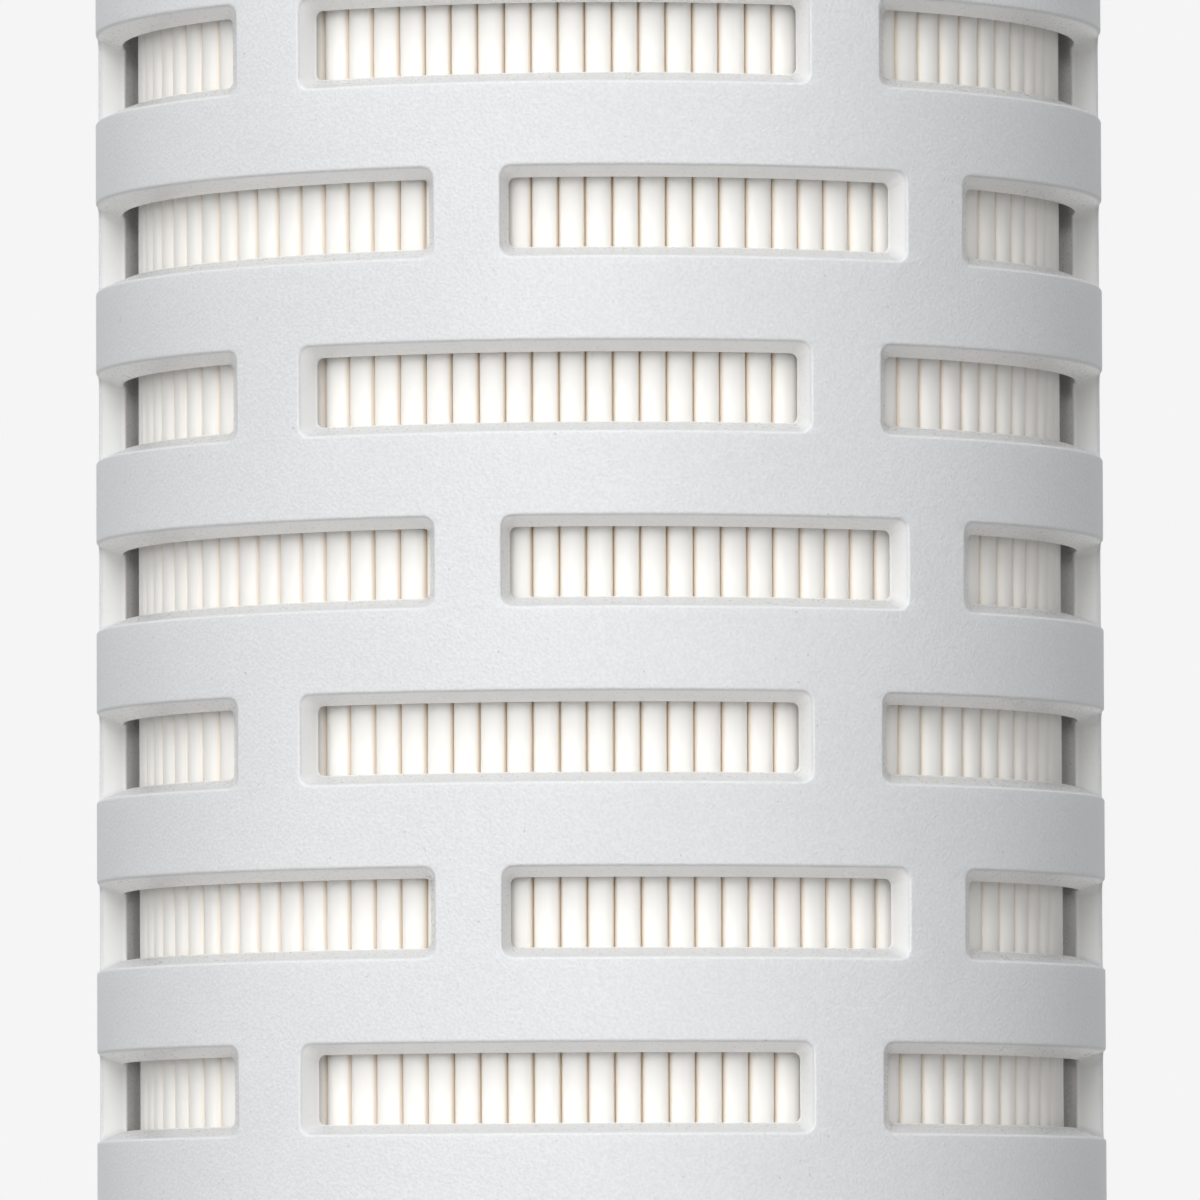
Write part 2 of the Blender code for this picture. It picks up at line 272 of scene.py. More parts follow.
def new_group(name, kind, inputs, outputs):
    """A node group with named sockets, and its two end nodes."""
    tree = bpy.data.node_groups.new(name, kind)
    for label, socket_type, value in inputs:
        socket = tree.interface.new_socket(label, in_out="INPUT", socket_type=socket_type)
        if value is not None:
            socket.default_value = value
    for label, socket_type in outputs:
        tree.interface.new_socket(label, in_out="OUTPUT", socket_type=socket_type)
    return tree, tree.nodes.new("NodeGroupInput"), tree.nodes.new("NodeGroupOutput")


def run_nodes(obj, tree, values):
    """Adds the geometry tree to the object, with its inputs set by their identifiers."""
    modifier = obj.modifiers.new(tree.name, "NODES")
    modifier.node_group = tree
    for item in tree.interface.items_tree:
        if item.in_out == "INPUT" and item.name in values:
            modifier[item.identifier] = values[item.name]


def finished(obj, *helpers):
    """Turns what the modifiers make into the object's own plain mesh."""
    weighted = obj.modifiers.new("even_shading", "WEIGHTED_NORMAL")
    weighted.keep_sharp = True
    depsgraph = bpy.context.evaluated_depsgraph_get()
    mesh = bpy.data.meshes.new_from_object(obj.evaluated_get(depsgraph), depsgraph=depsgraph)
    obj.modifiers.clear()
    obj.data = mesh
    mesh.name = obj.name
    for helper in helpers:
        bpy.data.objects.remove(helper, do_unlink=True)
    return obj


# Shapes


def place(radius, degrees, height):
    """The point at this radius, angle and height."""
    angle = math.radians(degrees)
    return Vector((radius * math.sin(angle), -radius * math.cos(angle), height))


def spans(first, last, widest):
    """How many equal steps no wider than the widest lead from first to last."""
    return max(1, math.ceil((last - first) / widest - ROUNDING))


def even(first, last, count):
    """Count equal steps from first to last, as a list of their ends."""
    return [first + (last - first) * k / count for k in range(count + 1)]


def edge_loops(wall):
    """Depth into the wall and offset outwards of each loop round a slot, outer surface first."""
    draft = math.atan2(wall.draft, wall.thickness)
    loops = []
    turn = math.pi / 2 - draft
    reach = wall.edge * math.tan(turn / 2)
    for k in range(OUTER_EDGE_STEPS + 1):
        angle = turn * k / OUTER_EDGE_STEPS
        depth = wall.edge * (1 - math.cos(angle))
        loops.append((depth, reach - wall.edge * math.sin(angle) + depth * math.tan(draft)))
    turn = math.pi / 2 + draft
    reach = wall.edge_inside * math.tan(turn / 2)
    for k in range(INNER_EDGE_STEPS, -1, -1):
        angle = turn * k / INNER_EDGE_STEPS
        height = wall.edge_inside * (1 - math.cos(angle))
        offset = reach - wall.edge_inside * math.sin(angle) - height * math.tan(draft)
        loops.append((wall.thickness - height, offset))
    return loops


def slot_loop(bm, wall, opening, centre, depth, offset):
    """One loop round a slot: its foot and head from left to right, its sides from foot to head."""
    radius = wall.radius - depth
    share = depth / wall.thickness
    half = wall.half - wall.draft * share + offset
    corner = wall.corner + (wall.corner_inside - wall.corner) * share + offset
    grow = math.degrees(offset / radius)
    turn = math.degrees(corner / radius)
    start = opening.start + (opening.start_inside - opening.start) * share - grow
    end = opening.end + (opening.end_inside - opening.end) * share + grow
    across = even(start + turn, end - turn, spans(opening.start, opening.end, wall.facet))
    lines = []
    for height in (centre - half, centre + half):
        lines.append([(a, bm.verts.new(place(radius, a, height))) for a in across])
    foot, head = lines
    sides = []
    for edge, inwards, near in ((start, 1, 0), (end, -1, -1)):
        side = [foot[near]]
        steps = [math.pi / 2 * k / CORNER_STEPS for k in range(1, CORNER_STEPS + 1)]
        for step in steps:
            angle = edge + inwards * turn * (1 - math.sin(step))
            height = centre - half + corner * (1 - math.cos(step))
            side.append((angle, bm.verts.new(place(radius, angle, height))))
        for step in steps[::-1]:
            angle = edge + inwards * turn * (1 - math.sin(step))
            height = centre + half - corner * (1 - math.cos(step))
            side.append((angle, bm.verts.new(place(radius, angle, height))))
        side.append(head[near])
        sides.append(side)
    return foot, head, sides[0], sides[1]


def join_loops(bm, outer, inner):
    """The strip of slot wall between two neighbouring loops."""
    runs = []
    for foot, head, left, right in (outer, inner):
        run = foot + right[1:-1] + head[::-1] + left[1:-1][::-1]
        runs.append([point for _, point in run])
    for k in range(len(runs[0])):
        bm.faces.new((runs[0][k - 1], runs[0][k], runs[1][k], runs[1][k - 1]))


def closed_ring(line):
    """The line with its first point again at its end, one full turn on."""
    return line + [(line[0][0] + 360.0, line[0][1])]


def zip_band(bm, lower, upper):
    """Fills the band between two rings of (angle, point), a quad where their angles agree."""
    i = 0
    j = 0
    while i < len(lower) - 1 or j < len(upper) - 1:
        next_lower = lower[i + 1][0] if i < len(lower) - 1 else math.inf
        next_upper = upper[j + 1][0] if j < len(upper) - 1 else math.inf
        level = abs(next_lower - next_upper) < SAME_ANGLE
        corners = [lower[i][1]]
        if level or next_lower < next_upper:
            i += 1
            corners.append(lower[i][1])
        corners.append(upper[j][1])
        if level or next_upper < next_lower:
            j += 1
            corners.insert(-1, upper[j][1])
        bm.faces.new(corners)


def skin_of_row(bm, wall, radius, slots):
    """The ribs between one row's slots on one surface, and the row's lower and upper rings."""
    low = []
    high = []
    for k, slot in enumerate(slots):
        following = slots[(k + 1) % len(slots)]
        wrap = 360.0 if k == len(slots) - 1 else 0.0
        before = slot[3]
        after = [(angle + wrap, point) for angle, point in following[2]]
        count = spans(before[len(before) // 2][0], after[len(after) // 2][0], wall.facet)
        lines = []
        for left, right in zip(before, after):
            middle = even(left[0], right[0], count)[1:-1]
            height = left[1].co.z
            line = [(a, bm.verts.new(place(radius, a, height))) for a in middle]
            lines.append([left] + line + [right])
        for below, above in zip(lines, lines[1:]):
            for i in range(count):
                corners = (below[i][1], below[i + 1][1], above[i + 1][1], above[i][1])
                bm.faces.new(corners)
        low += slot[0] + lines[0][1:-1]
        high += slot[1] + lines[-1][1:-1]
    return closed_ring(low), closed_ring(high)


def plain_ring(bm, wall, radius, start, height):
    """A ring of evenly spaced points, the same for every row, so that stacked rows meet."""
    count = round(360 / wall.facet)
    first = math.ceil(start / wall.facet) * wall.facet
    angles = [first + 360.0 * k / count for k in range(count)]
    return closed_ring([(a, bm.verts.new(place(radius, a, height))) for a in angles])


def slotted_rows(name, wall, rows, pitch):
    """Rows of slots in a tube wall, open above and below where the next rows join on."""
    bm = bmesh.new()
    loops = edge_loops(wall)
    slots = []
    for centre, openings in rows:
        row = []
        for opening in openings:
            made = [slot_loop(bm, wall, opening, centre, *loop) for loop in loops]
            for outer, inner in zip(made, made[1:]):
                join_loops(bm, outer, inner)
            row.append((made[0], made[-1]))
        slots.append(row)
    for side, radius in enumerate((wall.radius, wall.radius - wall.thickness)):
        for (centre, openings), row in zip(rows, slots):
            low, high = skin_of_row(bm, wall, radius, [slot[side] for slot in row])
            for ring, edge in ((low, centre - pitch / 2), (high, centre + pitch / 2)):
                plain = plain_ring(bm, wall, radius, ring[0][0], edge)
                if edge < centre:
                    zip_band(bm, plain, ring)
                else:
                    zip_band(bm, ring, plain)
    return from_bmesh(name, bm, WELD)


def stacked_rows_tree():
    """Repeats rows upwards, closes both ends with the rim and welds them into one shell."""
    tree, start, end = new_group(
        "stacked_rows",
        "GeometryNodeTree",
        (
            ("Rows", "NodeSocketGeometry", None),
            ("Rim", "NodeSocketObject", None),
            ("Count", "NodeSocketInt", 1),
            ("Pitch", "NodeSocketFloat", ROW_PITCH),
            ("Middle Height", "NodeSocketFloat", BODY_LENGTH / 2),
            ("Material", "NodeSocketMaterial", None),
        ),
        (("Tube", "NodeSocketGeometry"),),
    )
    offset = add_node(tree, "ShaderNodeCombineXYZ", {"Z": start.outputs["Pitch"]})
    line = add_node(
        tree,
        "GeometryNodeMeshLine",
        {"Count": start.outputs["Count"], "Offset": offset.outputs[0]},
        mode="OFFSET",
    )
    copies = add_node(
        tree,
        "GeometryNodeInstanceOnPoints",
        {"Points": line.outputs[0], "Instance": start.outputs["Rows"]},
    )
    foot = add_node(tree, "GeometryNodeObjectInfo", {"Object": start.outputs["Rim"]})
    twice = maths(tree, "MULTIPLY", start.outputs["Middle Height"], 2.0)
    lift = add_node(tree, "ShaderNodeCombineXYZ", {"Z": twice})
    head = add_node(
        tree,
        "GeometryNodeTransform",
        {
            "Geometry": foot.outputs["Geometry"],
            "Translation": lift.outputs[0],
            "Rotation": (math.pi, 0.0, 0.0),
        },
    )
    joined = add_node(tree, "GeometryNodeJoinGeometry")
    for part in (copies.outputs[0], foot.outputs["Geometry"], head.outputs[0]):
        tree.links.new(part, joined.inputs[0])
    real = add_node(tree, "GeometryNodeRealizeInstances", {"Geometry": joined.outputs[0]})
    welded = add_node(
        tree, "GeometryNodeMergeByDistance", {"Geometry": real.outputs[0], "Distance": ROW_WELD}
    )
    painted = add_node(
        tree,
        "GeometryNodeSetMaterial",
        {"Geometry": welded.outputs[0], "Material": start.outputs["Material"]},
    )
    tree.links.new(painted.outputs[0], end.inputs[0])
    return tree


def rim_below(name, wall, bottom, top):
    """The plain band under the first row, with rounded edges, open where the row joins on."""
    outer = wall.radius
    inner = wall.radius - wall.thickness
    outline = rounded_line(
        [
            (outer, top, 0.0),
            (outer, bottom, RIM_EDGE),
            (inner, bottom, RIM_EDGE),
            (inner, top, 0.0),
        ]
    )
    bm = bmesh.new()
    count = round(360 / wall.facet)
    rings = []
    for radius, height in outline:
        rings.append([bm.verts.new(place(radius, k * 360 / count, height)) for k in range(count)])
    for one, other in zip(rings, rings[1:]):
        for k in range(count):
            bm.faces.new((one[k - 1], one[k], other[k], other[k - 1]))
    return from_bmesh(name, bm)


def slot_end_inside(angle, is_start):
    """Where a slot's end wall meets the inner surface, so that the mould can open."""
    size = abs(angle)
    inner_radius = CAGE_RADIUS - CAGE_WALL
    if size > 90.0:
        depth = CAGE_RADIUS * math.cos(math.radians(size))
        inner = math.degrees(math.acos(depth / inner_radius))
    elif (angle < 0) == is_start:
        inner = size - math.degrees(SLOT_END_DRAFT / inner_radius)
    else:
        across = CAGE_RADIUS * math.sin(math.radians(size)) + SLOT_END_DRAFT
        inner = math.degrees(math.asin(across / inner_radius))
    return math.copysign(inner, angle)


def half_row(ribs, side_end, turn):
    """The slots of half a row, between its ribs and the two side ribs, turned round Z."""
    starts = [-side_end] + [rib[1] for rib in ribs]
    ends = [rib[0] for rib in ribs] + [side_end]
    return [
        Opening(
            start + turn,
            end + turn,
            slot_end_inside(start, True) + turn,
            slot_end_inside(end, False) + turn,
        )
        for start, end in zip(starts, ends)
    ]


def outer_cage(material):
    wall = Wall(
        radius=CAGE_RADIUS,
        thickness=CAGE_WALL,
        half=SLOT_HEIGHT / 2,
        draft=SLOT_DRAFT,
        corner=SLOT_CORNER,
        corner_inside=SLOT_CORNER_INSIDE,
        edge=SLOT_EDGE,
        edge_inside=SLOT_EDGE_INSIDE,
        facet=CAGE_FACET,
    )
    rows = []
    for k, ribs in enumerate((EVEN_ROW_RIBS, ODD_ROW_RIBS)):
        openings = half_row(ribs, SIDE_RIB[0], 0.0) + half_row(ribs, 180.0 - SIDE_RIB[1], 180.0)
        rows.append((FIRST_ROW + k * ROW_PITCH, openings))
    cage = slotted_rows("cage_moulding", wall, rows, ROW_PITCH)
    rim = rim_below("cage_rim", wall, CAGE_BOTTOM, FIRST_ROW - ROW_PITCH / 2)
    values = {
        "Rim": rim,
        "Count": CAGE_ROWS // 2,
        "Pitch": 2 * ROW_PITCH,
        "Middle Height": (CAGE_BOTTOM + CAGE_TOP) / 2,
        "Material": material,
    }
    run_nodes(cage, stacked_rows, values)
    return finished(cage, rim)


def perforated_core(material):
    wall = Wall(
        radius=CORE_RADIUS,
        thickness=CORE_WALL,
        half=CORE_WINDOW_HEIGHT / 2,
        draft=0.0,
        corner=CORE_CORNER,
        corner_inside=CORE_CORNER,
        edge=CORE_EDGE,
        edge_inside=CORE_EDGE,
        facet=CORE_FACET,
    )
    step = 360.0 / CORE_WINDOWS
    windows = []
    for k in range(CORE_WINDOWS):
        start = k * step + CORE_RIB_ANGLE / 2
        end = (k + 1) * step - CORE_RIB_ANGLE / 2
        windows.append(Opening(start, end, start, end))
    middle = (PACK_BOTTOM + PACK_TOP) / 2
    first = middle - (CORE_ROWS - 1) * CORE_ROW_PITCH / 2
    core = slotted_rows("perforated_core", wall, [(first, windows)], CORE_ROW_PITCH)
    rim = rim_below("core_rim", wall, PACK_BOTTOM, first - CORE_ROW_PITCH / 2)
    values = {
        "Rim": rim,
        "Count": CORE_ROWS,
        "Pitch": CORE_ROW_PITCH,
        "Middle Height": middle,
        "Material": material,
    }
    run_nodes(core, stacked_rows, values)
    return finished(core, rim)


def one_pleat(name):
    """One fold of the strip, from valley to valley, with the strip's own thickness."""
    tip = CAGE_RADIUS - CAGE_WALL - PLEAT_CAGE_GAP
    root = CORE_RADIUS + PLEAT_CORE_GAP
    half_step = math.pi / PLEATS
    half_tip = half_step * tip - PLEAT_MOUTH / 2
    valley = root + WEB
    throat = tip - PLEAT_OPEN_DEPTH
    half_throat = half_step * throat - PLEAT_SPACE / 2

    def flank(radius, thickness):
        share = (radius - valley) / (throat - valley)
        wide = half_step * valley + (half_throat - half_step * valley) * share
        return (radius, wide - thickness)

    def crown(top, rise, wide):
        points = []
        for k in range(CROWN_STEPS + 1):
            share = 1 - (k / CROWN_STEPS) ** CROWN_SPACING
            points.append((top - rise * share**CROWN_POWER, wide * share))
        return points

    rounded = half_step * valley - WEB * VALLEY_ROUNDING
    outside = [(valley, half_step * valley), (valley + WEB, rounded)]
    outside += [flank(radius, 0.0) for radius in (*FLANK_RADII, throat)]
    outside += crown(tip, CROWN_RISE, half_tip)
    inside = [(root, half_step * root), (root, half_step * root - WEB)]
    inside += [flank(radius, WEB) for radius in (*FLANK_RADII, throat)]
    inside += crown(tip - WEB, CROWN_RISE * INNER_CROWN, half_tip - WEB)
    bm = bmesh.new()
    fold = bm.verts.layers.float.new("fold")
    levels = even(PACK_BOTTOM, PACK_TOP, PACK_LEVELS)
    shells = []
    for half in (outside, inside):
        section = [(r, -x) for r, x in half] + [(r, x) for r, x in half[-2::-1]]
        shell = []
        for height in levels:
            line = []
            for r, x in section:
                point = bm.verts.new(place(r, math.degrees(x / r), height))
                # Depth into the fold, which masks the painted shade in the folds
                point[fold] = min(1.0, (tip - r) / PLEAT_OPEN_DEPTH)
                line.append(point)
            shell.append(line)
        shells.append(shell)
    count = len(shells[0][0])
    for shell in shells:
        for lower, upper in zip(shell, shell[1:]):
            for k in range(count - 1):
                bm.faces.new((lower[k], lower[k + 1], upper[k + 1], upper[k]))
    for level in (0, -1):
        outer = shells[0][level]
        inner = shells[1][level]
        for k in range(count - 1):
            bm.faces.new((outer[k], outer[k + 1], inner[k + 1], inner[k]))
    return from_bmesh(name, bm)


def pleated_ring_tree():
    """Repeats a pleat round Z, crowds the pleats front and back and lets the crowns wander."""
    tree, start, end = new_group(
        "pleated_ring",
        "GeometryNodeTree",
        (
            ("Pleat", "NodeSocketGeometry", None),
            ("Count", "NodeSocketInt", PLEATS),
            ("Crowding", "NodeSocketFloat", PLEAT_CROWDING),
            ("Root Radius", "NodeSocketFloat", CORE_RADIUS + PLEAT_CORE_GAP),
            ("Tip Radius", "NodeSocketFloat", CAGE_RADIUS - CAGE_WALL - PLEAT_CAGE_GAP),
            ("Sideways Wander", "NodeSocketFloat", SIDEWAYS_WANDER),
            ("Inward Wander", "NodeSocketFloat", INWARD_WANDER),
            ("Wander Scale", "NodeSocketFloat", WANDER_SCALE),
            ("Upward Stretch", "NodeSocketFloat", WANDER_STRETCH),
            ("Seed", "NodeSocketFloat", WANDER_SEED),
            ("Material", "NodeSocketMaterial", None),
        ),
        (("Pack", "NodeSocketGeometry"),),
    )
    ask = start.outputs
    line = add_node(
        tree,
        "GeometryNodeMeshLine",
        {"Count": ask["Count"], "Offset": (0.0, 0.0, 0.0)},
        mode="OFFSET",
    )
    index = add_node(tree, "GeometryNodeInputIndex").outputs[0]
    step = maths(tree, "DIVIDE", 2 * math.pi, ask["Count"])
    turn = add_node(tree, "ShaderNodeCombineXYZ", {"Z": maths(tree, "MULTIPLY", index, step)})
    copies = add_node(
        tree,
        "GeometryNodeInstanceOnPoints",
        {"Points": line.outputs[0], "Instance": ask["Pleat"], "Rotation": turn.outputs[0]},
    )
    real = add_node(tree, "GeometryNodeRealizeInstances", {"Geometry": copies.outputs[0]})
    welded = add_node(
        tree, "GeometryNodeMergeByDistance", {"Geometry": real.outputs[0], "Distance": PLEAT_WELD}
    )
    position = add_node(tree, "GeometryNodeInputPosition").outputs[0]
    axes = add_node(tree, "ShaderNodeSeparateXYZ", {"Vector": position})
    round_z = maths(tree, "ARCTAN2", axes.outputs["Y"], axes.outputs["X"])
    swing = maths(tree, "SINE", maths(tree, "MULTIPLY", round_z, 2.0))
    crowd = maths(tree, "MULTIPLY", swing, maths(tree, "MULTIPLY", ask["Crowding"], 0.5))
    crowded = add_node(
        tree,
        "ShaderNodeVectorRotate",
        {"Vector": position, "Angle": crowd},
        rotation_type="Z_AXIS",
    )
    gathered = add_node(
        tree,
        "GeometryNodeSetPosition",
        {"Geometry": welded.outputs[0], "Position": crowded.outputs[0]},
    )
    flat = vector_maths(tree, "MULTIPLY", position, (1.0, 1.0, 0.0))
    radius = vector_maths(tree, "LENGTH", flat)
    outwards = vector_maths(tree, "NORMALIZE", flat)
    sideways = vector_maths(tree, "CROSS_PRODUCT", (0.0, 0.0, 1.0), outwards)
    weight = add_node(
        tree,
        "ShaderNodeMapRange",
        {"Value": radius, "From Min": ask["Root Radius"], "From Max": ask["Tip Radius"]},
        interpolation_type="SMOOTHSTEP",
    ).outputs[0]
    squeeze = add_node(
        tree, "ShaderNodeCombineXYZ", {"X": 1.0, "Y": 1.0, "Z": ask["Upward Stretch"]}
    )
    noise = add_node(
        tree,
        "ShaderNodeTexNoise",
        {
            "Vector": vector_maths(tree, "MULTIPLY", position, squeeze.outputs[0]),
            "W": ask["Seed"],
            "Scale": ask["Wander Scale"],
            "Detail": 1.0,
        },
        noise_dimensions="4D",
    )
    parts = add_node(tree, "ShaderNodeSeparateXYZ", {"Vector": noise.outputs["Color"]})
    moves = []
    for direction, wander, channel, middle in (
        (sideways, "Sideways Wander", "X", 0.5),
        (outwards, "Inward Wander", "Y", 0.75),
    ):
        lean = maths(tree, "SUBTRACT", parts.outputs[channel], middle)
        reach = maths(tree, "MULTIPLY", lean, maths(tree, "MULTIPLY", ask[wander], weight))
        moves.append(scaled(tree, direction, reach))
    moved = add_node(
        tree,
        "GeometryNodeSetPosition",
        {"Geometry": gathered.outputs[0], "Offset": vector_maths(tree, "ADD", *moves)},
    )
    painted = add_node(
        tree,
        "GeometryNodeSetMaterial",
        {"Geometry": moved.outputs[0], "Material": ask["Material"]},
    )
    tree.links.new(painted.outputs[0], end.inputs[0])
    return tree


def pleated_pack(material):
    pack = one_pleat("pleat_pack")
    values = {
        "Count": PLEATS,
        "Crowding": PLEAT_CROWDING,
        "Root Radius": CORE_RADIUS + PLEAT_CORE_GAP,
        "Tip Radius": CAGE_RADIUS - CAGE_WALL - PLEAT_CAGE_GAP,
        "Sideways Wander": SIDEWAYS_WANDER,
        "Inward Wander": INWARD_WANDER,
        "Wander Scale": WANDER_SCALE,
        "Upward Stretch": WANDER_STRETCH,
        "Seed": WANDER_SEED,
        "Material": material,
    }
    run_nodes(pack, pleated_ring_tree(), values)
    return finished(pack)


def rounded_line(points):
    """A line through (radius, height, corner radius) points, with its corners rounded."""
    line = []
    for k, (radius, height, corner) in enumerate(points):
        here = Vector((radius, height))
        if corner == 0.0 or k in (0, len(points) - 1):
            line.append(tuple(here))
            continue
        before = (Vector(points[k - 1][:2]) - here).normalized()
        after = (Vector(points[k + 1][:2]) - here).normalized()
        half = before.angle(after) / 2
        middle = here + (before + after).normalized() * corner / math.sin(half)
        first = here + before * corner / math.tan(half)
        last = here + after * corner / math.tan(half)
        steps = max(2, math.ceil((math.pi - 2 * half) / math.radians(TURNED_CORNER_STEP)))
        start = (first - middle).normalized()
        end = (last - middle).normalized()
        for i in range(steps + 1):
            line.append(tuple(middle + start.slerp(end, i / steps) * corner))
    return line


def turned(name, outline, material, closed=False):
    """Spins an outline about Z. An open one starts and ends on the axis."""
    line = rounded_line(outline)
    bm = bmesh.new()
    points = [bm.verts.new((radius, 0.0, height)) for radius, height in line]
    edges = [bm.edges.new(pair) for pair in zip(points, points[1:])]
    if closed:
        edges.append(bm.edges.new((points[-1], points[0])))
    bmesh.ops.spin(
        bm,
        geom=points + edges,
        cent=(0.0, 0.0, 0.0),
        axis=(0.0, 0.0, 1.0),
        angle=2 * math.pi,
        steps=TURNED_STEPS,
        use_merge=True,
    )
    obj = from_bmesh(name, bm, WELD)
    obj.data.materials.append(material)
    return finished(obj)


def closed_end_cap(material):
    deck = END_DISC + CAP_SHOULDER
    plug = deck + CAP_SOCKET_DEPTH
    outline = [
        (0.0, 0.0, 0.0),
        (CAGE_RADIUS, 0.0, CAP_EDGE),
        (CAGE_RADIUS, END_DISC, SMALL_EDGE),
        (SHOULDER_RADIUS, END_DISC, 0.0),
        (SHOULDER_RADIUS, deck, SMALL_EDGE),
        (PLUG_RADIUS, deck, 0.0),
        (PLUG_RADIUS, plug, PLUG_EDGE),
        (0.0, plug, 0.0),
    ]
    return turned("closed_cap", outline, material)


def open_end_cap(material):
    disc = BODY_LENGTH - END_DISC
    deck = disc - CAP_SHOULDER
    collar = deck - CAP_SOCKET_DEPTH
    seat = FLANGE_RADIUS + CLEARANCE
    outline = [
        (OUTLET_RADIUS, collar, 0.0),
        (PLUG_RADIUS, collar, PLUG_EDGE),
        (PLUG_RADIUS, deck, 0.0),
        (SHOULDER_RADIUS, deck, SMALL_EDGE),
        (SHOULDER_RADIUS, disc, 0.0),
        (CAGE_RADIUS, disc, SMALL_EDGE),
        (CAGE_RADIUS, BODY_LENGTH, CAP_EDGE),
        (seat, BODY_LENGTH, SMALL_EDGE),
        (seat, BODY_LENGTH - FLANGE_RECESS, 0.0),
        (OUTLET_RADIUS, BODY_LENGTH - FLANGE_RECESS, 0.0),
    ]
    return turned("open_cap", outline, material, closed=True)


def outlet_adapter(material):
    foot = BODY_LENGTH - FLANGE_RECESS + CLEARANCE
    deck = BODY_LENGTH + FLANGE_THICKNESS
    outline = [
        (OUTLET_RADIUS, foot, 0.0),
        (FLANGE_RADIUS, foot, 0.0),
        (FLANGE_RADIUS, deck, CAP_EDGE),
        (SPIGOT_RADIUS, deck, FLANGE_FILLET),
    ]
    for height in GROOVE_HEIGHTS:
        low = height - GROOVE_WIDTH / 2
        high = height + GROOVE_WIDTH / 2
        outline += [
            (SPIGOT_RADIUS, low, SMALL_EDGE),
            (GROOVE_ROOT, low, SMALL_EDGE),
            (GROOVE_ROOT, high, SMALL_EDGE),
            (SPIGOT_RADIUS, high, SMALL_EDGE),
        ]
    outline += [
        (SPIGOT_RADIUS, ADAPTER_TOP - LEAD_IN, LEAD_IN_EDGES[0]),
        (SPIGOT_RADIUS - LEAD_IN, ADAPTER_TOP, LEAD_IN_EDGES[1]),
        (OUTLET_RADIUS, ADAPTER_TOP, LEAD_IN_EDGES[2]),
    ]
    return turned("spigot_adapter", outline, material, closed=True)


def seal_ring(name, height, material):
    section = O_RING_SECTION / 2
    middle = GROOVE_ROOT + CLEARANCE + section
    outline = []
    for k in range(O_RING_STEPS):
        angle = 2 * math.pi * k / O_RING_STEPS
        across = middle + section * math.cos(angle)
        outline.append((across, height + section * math.sin(angle), 0.0))
    return turned(name, outline, material, closed=True)


# Finishes, with painted light and shade


def object_place(tree):
    return add_node(tree, "ShaderNodeTexCoord").outputs["Object"]


def noise(tree, vector, scale, detail=2.0, roughness=0.5):
    inputs = {"Vector": vector, "Scale": scale, "Detail": detail, "Roughness": roughness}
    return add_node(tree, "ShaderNodeTexNoise", inputs).outputs["Fac"]


def remap(tree, value, low, high, to_low=0.0, to_high=1.0):
    inputs = {
        "Value": value,
        "From Min": low,
        "From Max": high,
        "To Min": to_low,
        "To Max": to_high,
    }
    return add_node(tree, "ShaderNodeMapRange", inputs).outputs[0]


def mix_colours(tree, share, first, second, blend="MIX"):
    made = add_node(tree, "ShaderNodeMix", data_type="RGBA", blend_type=blend)
    for key, value in ((0, share), (6, first), (7, second)):
        if isinstance(value, bpy.types.NodeSocket):
            tree.links.new(value, made.inputs[key])
        else:
            made.inputs[key].default_value = value
    return made.outputs[2]


def moulded_grain_group():
    """The fine satin grain of a spark-eroded mould, with the slow swell of the skin under it."""
    tree, start, end = new_group(
        "moulded_grain",
        "ShaderNodeTree",
        (
            ("Grain Scale", "NodeSocketFloat", 4500.0),
            ("Swell Scale", "NodeSocketFloat", 700.0),
            ("Swell Share", "NodeSocketFloat", 0.5),
        ),
        (("Height", "NodeSocketFloat"), ("Grain", "NodeSocketFloat")),
    )
    where = object_place(tree)
    grain = noise(tree, where, start.outputs["Grain Scale"], 1.0, 0.55)
    swell = noise(tree, where, start.outputs["Swell Scale"], 0.0)
    lifted = maths(tree, "MULTIPLY", swell, start.outputs["Swell Share"])
    tree.links.new(maths(tree, "ADD", grain, lifted), end.inputs["Height"])
    tree.links.new(remap(tree, grain, *NOISE_RANGE), end.inputs["Grain"])
    return tree


def milky_depth_group():
    """Slow clouds in a milky plastic, where it is a little denser or clearer."""
    tree, start, end = new_group(
        "milky_depth",
        "ShaderNodeTree",
        (
            ("Clear Colour", "NodeSocketColor", (0.8, 0.8, 0.8, 1.0)),
            ("Dense Colour", "NodeSocketColor", (0.9, 0.9, 0.9, 1.0)),
            ("Cloud Scale", "NodeSocketFloat", 60.0),
        ),
        (("Colour", "NodeSocketColor"),),
    )
    where = object_place(tree)
    clouds = noise(tree, where, start.outputs["Cloud Scale"], 1.0, 0.55)
    density = remap(tree, clouds, *NOISE_RANGE)
    colour = mix_colours(
        tree, density, start.outputs["Clear Colour"], start.outputs["Dense Colour"]
    )
    tree.links.new(colour, end.inputs["Colour"])
    return tree


def scuffs_group():
    """Thin rubbed marks and small specks, as handling leaves them."""
    tree, start, end = new_group(
        "scuffs",
        "ShaderNodeTree",
        (("Scale", "NodeSocketFloat", 260.0), ("Speck Scale", "NodeSocketFloat", 3600.0)),
        (("Rubbed", "NodeSocketFloat"), ("Specks", "NodeSocketFloat")),
    )
    where = object_place(tree)
    long_way = vector_maths(tree, "MULTIPLY", where, (1.0, 1.0, RUB_STRETCH))
    rubbed = noise(tree, long_way, start.outputs["Scale"], 2.0, 0.65)
    tree.links.new(remap(tree, rubbed, *RUB_RANGE), end.inputs["Rubbed"])
    specks = noise(tree, where, start.outputs["Speck Scale"], 0.0)
    tree.links.new(remap(tree, specks, *SPECK_RANGE), end.inputs["Specks"])
    return tree


